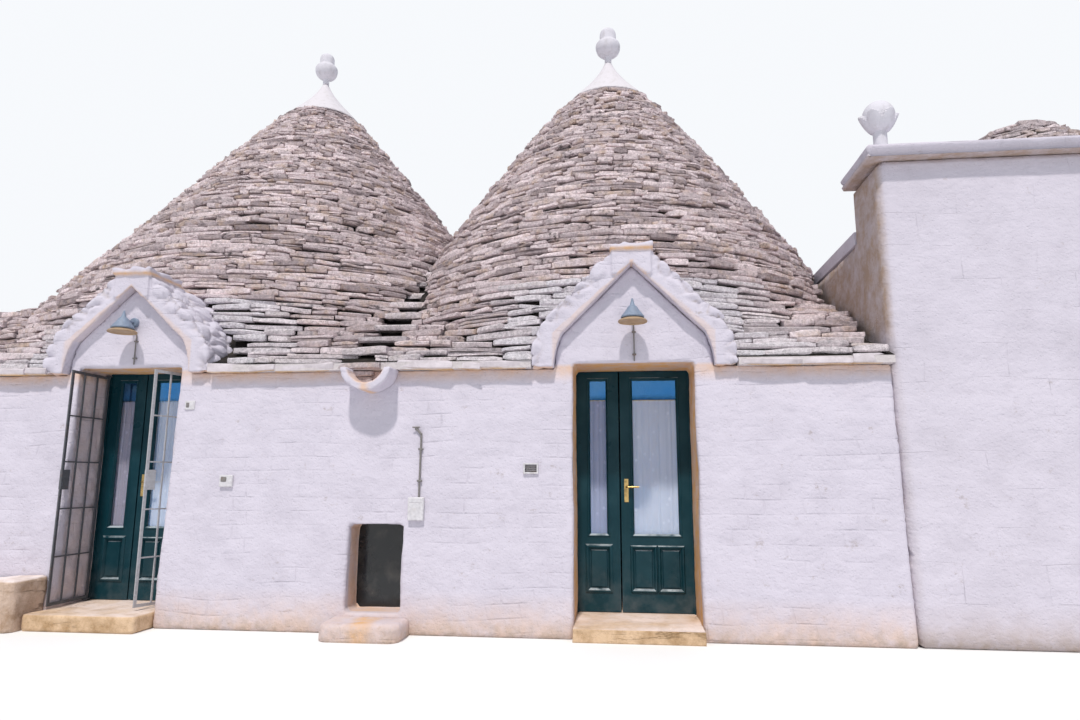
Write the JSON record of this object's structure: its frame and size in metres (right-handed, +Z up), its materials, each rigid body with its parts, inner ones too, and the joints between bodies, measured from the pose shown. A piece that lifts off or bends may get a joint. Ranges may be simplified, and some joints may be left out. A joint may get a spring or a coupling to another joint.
{
  "type": "trullo house",
  "caption": "Whitewashed dry-stone house with conical stone roofs, pointed gables over glazed doors, an iron grille and a flat-fronted wing.",
  "frame": {"origin": "on the ground, in the front plane, at the middle of the right doorway", "axes": "+X along the front to the right, +Y into the house, +Z up"},
  "size_m": [15.95, 8.73, 7.893],
  "materials": {
    "whitewash": "limewashed masonry, matt",
    "roof_stone": "dry-laid grey limestone, rough",
    "plaster": "lime plaster, matt",
    "carved_stone": "carved limestone, whitewashed",
    "step_stone": "worn limestone",
    "floor_stone": "limestone flags",
    "wing_render": "lime render, matt",
    "door_wood": "dark green paint, satin",
    "door_glass": "clear",
    "lace": "thin curtain",
    "brass": "worn",
    "iron": "grey paint, matt",
    "dark_panel": "dark, dull",
    "lamp_metal": "dull grey"
  },
  "bodies": {
    "house": {"back_wall_left": "whitewash", "back_wall_right": "whitewash", "cross_wall": "whitewash", "front_wall_bay": "whitewash", "front_wall_left": "whitewash", "front_wall_middle": "whitewash", "front_wall_right": "whitewash", "gable_lamps": "lamp_metal", "grille_hinges": "iron", "gutter_spout": "whitewash", "left_cone": "roof_stone", "left_coping": "whitewash", "left_door_frame": "door_wood", "left_end_wall": "whitewash", "left_floor": "floor_stone", "left_gable": "whitewash", "left_pinnacle": "carved_stone", "left_step": "step_stone", "left_tip": "plaster", "niche_panel": "dark_panel", "niche_wall": "whitewash", "party_wall": "whitewash", "right_cone": "roof_stone", "right_coping": "whitewash", "right_door_frame": "door_wood", "right_floor": "floor_stone", "right_gable": "whitewash", "right_pinnacle": "carved_stone", "right_step": "step_stone", "right_tip": "plaster", "stone_bench": "step_stone", "wall_foot_ledge": "whitewash", "wing_back_wall": "wing_render", "wing_cornice": "wing_render", "wing_dome": "roof_stone", "wing_finials": "carved_stone", "wing_front_wall": "wing_render", "wing_left_wall": "wing_render", "wing_right_wall": "wing_render", "wing_roof": "wing_render"},
    "left_door_small": {"left_door_small_curtain": "lace", "left_door_small_glass": "door_glass", "left_door_small_leaf": "door_wood"},
    "left_door_large": {"left_door_handle": "brass", "left_door_large_curtain": "lace", "left_door_large_glass": "door_glass", "left_door_large_leaf": "door_wood"},
    "right_door_small": {"right_door_small_curtain": "lace", "right_door_small_glass": "door_glass", "right_door_small_leaf": "door_wood"},
    "right_door_large": {"right_door_handle": "brass", "right_door_large_curtain": "lace", "right_door_large_glass": "door_glass", "right_door_large_leaf": "door_wood"},
    "grille_left": {"grille_left": "iron"},
    "grille_right": {"grille_right": "iron"}
  },
  "joints": [
    {"name": "left_door_small_hinge", "type": "hinge", "parent": "house", "child": "left_door_small", "pos_m": [-4.952, 0.477, 0], "axis": [0, 0, 1], "range_deg": [0, 90]},
    {"name": "left_door_large_hinge", "type": "hinge", "parent": "house", "child": "left_door_large", "pos_m": [-3.988, 0.477, 0], "axis": [0, 0, 1], "range_deg": [-90, 0]},
    {"name": "right_door_small_hinge", "type": "hinge", "parent": "house", "child": "right_door_small", "pos_m": [-0.497, 0.582, 0], "axis": [0, 0, 1], "range_deg": [0, 90]},
    {"name": "right_door_large_hinge", "type": "hinge", "parent": "house", "child": "right_door_large", "pos_m": [0.497, 0.582, 0], "axis": [0, 0, 1], "range_deg": [-90, 0]},
    {"name": "grille_left_hinge", "type": "hinge", "parent": "house", "child": "grille_left", "pos_m": [-4.935, 0.35, 0], "axis": [0, 0, 1], "range_deg": [0, 90]},
    {"name": "grille_right_hinge", "type": "hinge", "parent": "house", "child": "grille_right", "pos_m": [-4.005, 0.35, 0], "axis": [0, 0, 1], "range_deg": [-68, 22]}
  ]
}
